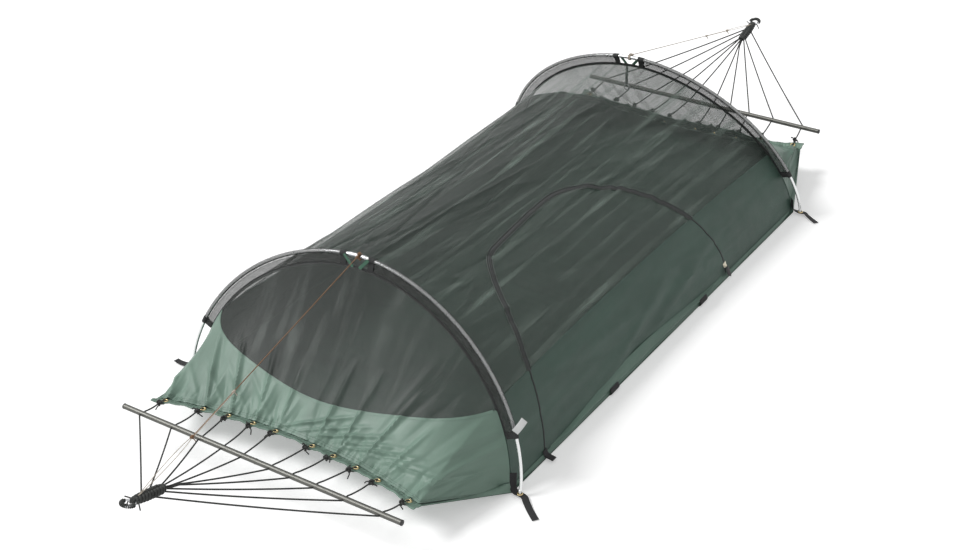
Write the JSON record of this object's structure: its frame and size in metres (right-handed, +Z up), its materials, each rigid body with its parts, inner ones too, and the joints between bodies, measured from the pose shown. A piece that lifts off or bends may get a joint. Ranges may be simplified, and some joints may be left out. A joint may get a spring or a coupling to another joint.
{
  "type": "hammock tent",
  "caption": "Camping hammock with spreader bars, cord-and-ring suspension and a netting roof carried on two arch poles, with a zipped side door.",
  "frame": {"origin": "under the middle of the bed, on the plane that the bed's underside rests on", "axes": "+Y along the tent's length, +X out of the side with the zipped door, +Z up"},
  "size_m": [1.3016, 3.3572, 0.4891],
  "materials": {
    "dark_cloth": "dark green coated ripstop nylon",
    "light_cloth": "light sage green nylon, gathered and double stitched",
    "netting": "fine dark insect netting",
    "sleeve_netting": "pale grey mesh pole sleeve",
    "webbing": "black woven webbing and tape",
    "cord": "black braided cord",
    "guy_cord": "tan braided guyline",
    "pole": "satin silver tube",
    "bar_tube": "satin grey tube",
    "steel": "plated steel",
    "brass": "rolled brass eyelet",
    "black_plastic": "matte moulded plastic"
  },
  "bodies": {
    "tent": {"bar_cap_far_left": "black_plastic", "bar_cap_far_right": "black_plastic", "bar_cap_near_left": "black_plastic", "bar_cap_near_right": "black_plastic", "bar_far_left": "bar_tube", "bar_far_right": "bar_tube", "bar_near_left": "bar_tube", "bar_near_right": "bar_tube", "bar_spigot_far": "steel", "bar_spigot_near": "steel", "bed_floor": "dark_cloth", "end_net_far": "netting", "end_net_near": "netting", "end_panel_far": "light_cloth", "end_panel_near": "light_cloth", "foot_strap_far_left": "webbing", "foot_strap_far_right": "webbing", "foot_strap_near_left": "webbing", "foot_strap_near_right": "webbing", "guyline_far": "guy_cord", "guyline_near": "guy_cord", "hem_band_far": "light_cloth", "hem_band_near": "light_cloth", "nettles_far": "cord", "nettles_near": "cord", "roof_net": "netting", "side_loop_far": "webbing", "side_loop_near": "webbing", "side_wall_left": "dark_cloth", "side_wall_right_far": "dark_cloth", "side_wall_right_near": "dark_cloth", "zip_end_tab": "webbing", "zip_tape": "webbing"},
    "near_arch": {"foot_eyelet_near_left": "brass", "foot_eyelet_near_right": "brass", "pole_near_ferrule": "steel", "pole_near_left": "pole", "pole_near_right": "pole", "seam_tape_near": "webbing", "sleeve_near_left": "sleeve_netting", "sleeve_near_right": "sleeve_netting"},
    "far_arch": {"foot_eyelet_far_left": "brass", "foot_eyelet_far_right": "brass", "pole_far_ferrule": "steel", "pole_far_left": "pole", "pole_far_right": "pole", "seam_tape_far": "webbing", "sleeve_far_left": "sleeve_netting", "sleeve_far_right": "sleeve_netting"},
    "door": {"door_net": "netting", "door_panel": "dark_cloth", "door_zip_tape": "webbing"},
    "zip_slider": {"zip_slider": "steel"},
    "zip_pull": {"zip_pull": "black_plastic"},
    "near_ring": {"ring_near": "steel"},
    "far_ring": {"ring_far": "steel"},
    "gear_loop": {"gear_ring": "steel", "gear_strap": "webbing"}
  },
  "joints": [
    {"name": "near_arch_fold", "type": "hinge", "parent": "tent", "child": "near_arch", "pos_m": [0, -0.869, 0.009], "axis": [-1, 0, 0], "range_deg": [0, 68], "deforming": ["end_net_far", "end_net_near", "end_panel_far", "end_panel_near", "foot_strap_far_left", "foot_strap_far_right", "foot_strap_near_left", "foot_strap_near_right", "guyline_far", "guyline_near", "roof_net", "side_loop_far", "side_loop_near", "side_wall_left", "side_wall_right_far", "side_wall_right_near", "zip_end_tab", "zip_tape", "door_net", "door_panel", "door_zip_tape"]},
    {"name": "far_arch_fold", "type": "hinge", "parent": "tent", "child": "far_arch", "pos_m": [0, 0.869, 0.009], "axis": [1, 0, 0], "range_deg": [0, 68]},
    {"name": "door_fold", "type": "hinge", "parent": "tent", "child": "door", "pos_m": [0.528, -0.16, 0.01], "axis": [0, 1, 0], "range_deg": [0, 96]},
    {"name": "zip_slide", "type": "slide", "parent": "tent", "child": "zip_slider", "axis": [-0.2065, -0.1832, 0.9611], "range_m": [0, 0.04]},
    {"name": "zip_pull_swing", "type": "hinge", "parent": "zip_slider", "child": "zip_pull", "pos_m": [0.52675, 0.37445, 0.04691], "axis": [-0.0037, -1, 0], "range_deg": [0, 120]},
    {"name": "near_ring_swing", "type": "hinge", "parent": "tent", "child": "near_ring", "pos_m": [0, -1.64435, 0.28166], "axis": [1, 0, 0], "range_deg": [-70, 70]},
    {"name": "far_ring_swing", "type": "hinge", "parent": "tent", "child": "far_ring", "pos_m": [0, 1.64435, 0.28166], "axis": [1, 0, 0], "range_deg": [-70, 70]},
    {"name": "gear_loop_swing", "type": "hinge", "parent": "far_arch", "child": "gear_loop", "pos_m": [-0.045, 0.75689, 0.44069], "axis": [1, 0, 0], "range_deg": [-25, 40]}
  ],
  "couplings": [
    {"joint": "far_arch_fold", "follows": "near_arch_fold", "ratio": 1}
  ]
}
